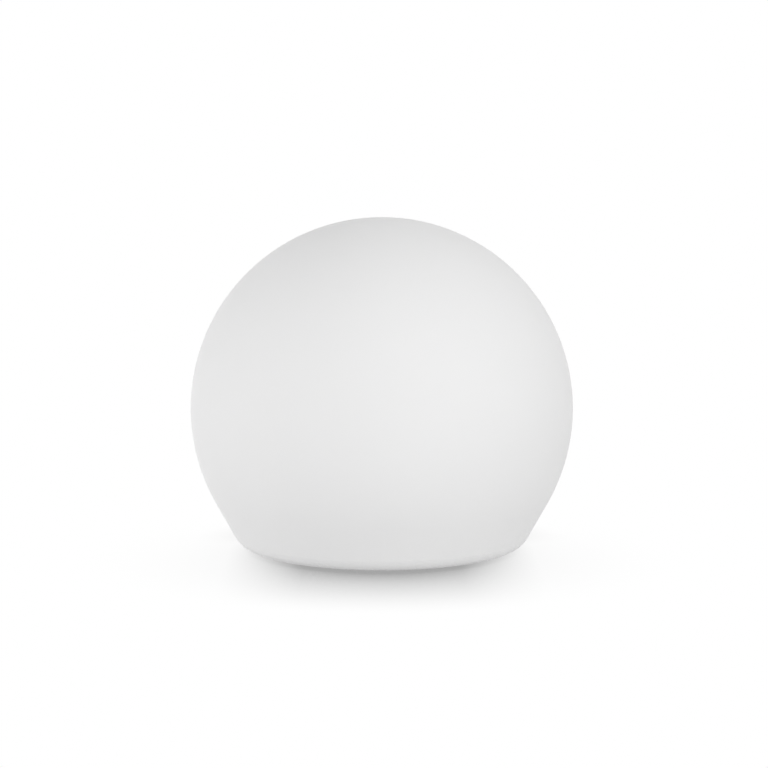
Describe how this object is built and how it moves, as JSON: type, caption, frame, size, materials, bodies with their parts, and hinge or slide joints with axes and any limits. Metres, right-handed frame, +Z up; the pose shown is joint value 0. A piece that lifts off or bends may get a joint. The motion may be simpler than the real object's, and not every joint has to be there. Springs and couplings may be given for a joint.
{
  "type": "garden globe light",
  "caption": "Cordless garden globe light: a matt white ball with a flattened foot that lifts off a sealed module with a dome lens, a power button and a flapped charging socket.",
  "frame": {"origin": "on the ground at the middle of the foot", "axes": "+Z up, -Y towards the front, +X to the right seen from the front"},
  "size_m": [0.3, 0.3, 0.261],
  "materials": {
    "white_polyethylene": "matt rotationally moulded skin with a fine orange-peel texture",
    "white_polycarbonate": "fine spark-eroded moulding texture",
    "grey_ring_plastic": "satin moulded",
    "brass": "turned, slightly dulled",
    "clear_silicone": "satin silicone rubber",
    "black_rubber": "matt rubber",
    "stainless_steel": "bright turned steel",
    "spring_steel": "rolled strip and drawn wire",
    "cell_wrap": "shrunk plastic sleeve",
    "black_nylon": "moulded nylon",
    "nickel": "nickel plate",
    "green_board": "solder mask over glass fibre",
    "grey_foam": "closed-cell foam",
    "capacitor_can": "bright can",
    "ferrite": "sintered ferrite",
    "white_nylon": "moulded nylon",
    "button_grey": "fine satin texture",
    "flap_grey": "fine satin texture",
    "clear_polycarbonate": "clear polished",
    "indicator_epoxy": "clear epoxy",
    "cast_aluminium": "die cast, shot blasted",
    "thermal_silicone": "soft filled silicone sheet",
    "white_solder_mask": "white mask on aluminium",
    "led_ceramic": "white package",
    "phosphor": "yellow silicone",
    "lead_sleeve": "PVC sleeve"
  },
  "bodies": {
    "base": {"base_pan": "white_polycarbonate", "battery_cells": "cell_wrap", "battery_holder": "black_nylon", "battery_lead": "lead_sleeve", "battery_tabs": "nickel", "board_connectors": "white_nylon", "board_screws": "stainless_steel", "button_spring": "spring_steel", "capacitors": "capacitor_can", "catch_rivets": "stainless_steel", "cell_pad": "grey_foam", "charge_socket": "black_nylon", "control_board": "green_board", "control_chips": "black_nylon", "cover_gasket": "clear_silicone", "cover_screws": "stainless_steel", "dome_gasket": "clear_silicone", "dome_ring": "grey_ring_plastic", "dome_ring_screws": "stainless_steel", "heat_sink": "cast_aluminium", "heat_sink_screws": "stainless_steel", "hinge_pin": "stainless_steel", "indicator_led": "indicator_epoxy", "inductor": "ferrite", "lead_grommet": "black_rubber", "led_board": "white_solder_mask", "led_board_screws": "stainless_steel", "led_connector": "white_nylon", "led_lead": "lead_sleeve", "led_packages": "led_ceramic", "led_phosphors": "phosphor", "lens_dome": "clear_polycarbonate", "light_pipe": "clear_polycarbonate", "module_cover": "white_polycarbonate", "protection_board": "green_board", "rubber_feet": "black_rubber", "seal_ring": "clear_silicone", "socket_lead": "lead_sleeve", "socket_nut": "nickel", "socket_pin": "brass", "spring_catches": "spring_steel", "switch_body": "black_nylon", "thermal_pad": "thermal_silicone"},
    "globe": {"globe_diffuser": "white_polyethylene", "moulded_inserts": "brass", "collar": "white_polycarbonate", "collar_gasket": "clear_silicone", "collar_screws": "stainless_steel"},
    "button": {"power_button": "button_grey", "button_seal": "clear_silicone", "switch_stem": "white_nylon"},
    "flap": {"port_flap": "flap_grey", "flap_bung": "black_rubber"}
  },
  "joints": [
    {"name": "globe_lift", "type": "slide", "parent": "base", "child": "globe", "axis": [0, 0, 1], "range_m": [0, 0.14], "deforming": ["spring_catches"]},
    {"name": "button_press", "type": "slide", "parent": "base", "child": "button", "axis": [0, 0, 1], "range_m": [0, 0.0015], "stiffness_N_per_m": 800, "springref_m": -0.001, "deforming": ["button_spring"]},
    {"name": "flap_swing", "type": "hinge", "parent": "base", "child": "flap", "pos_m": [0.018, -0.0297, 0.0143], "axis": [-1, 0, 0], "range_deg": [0, 100]}
  ]
}
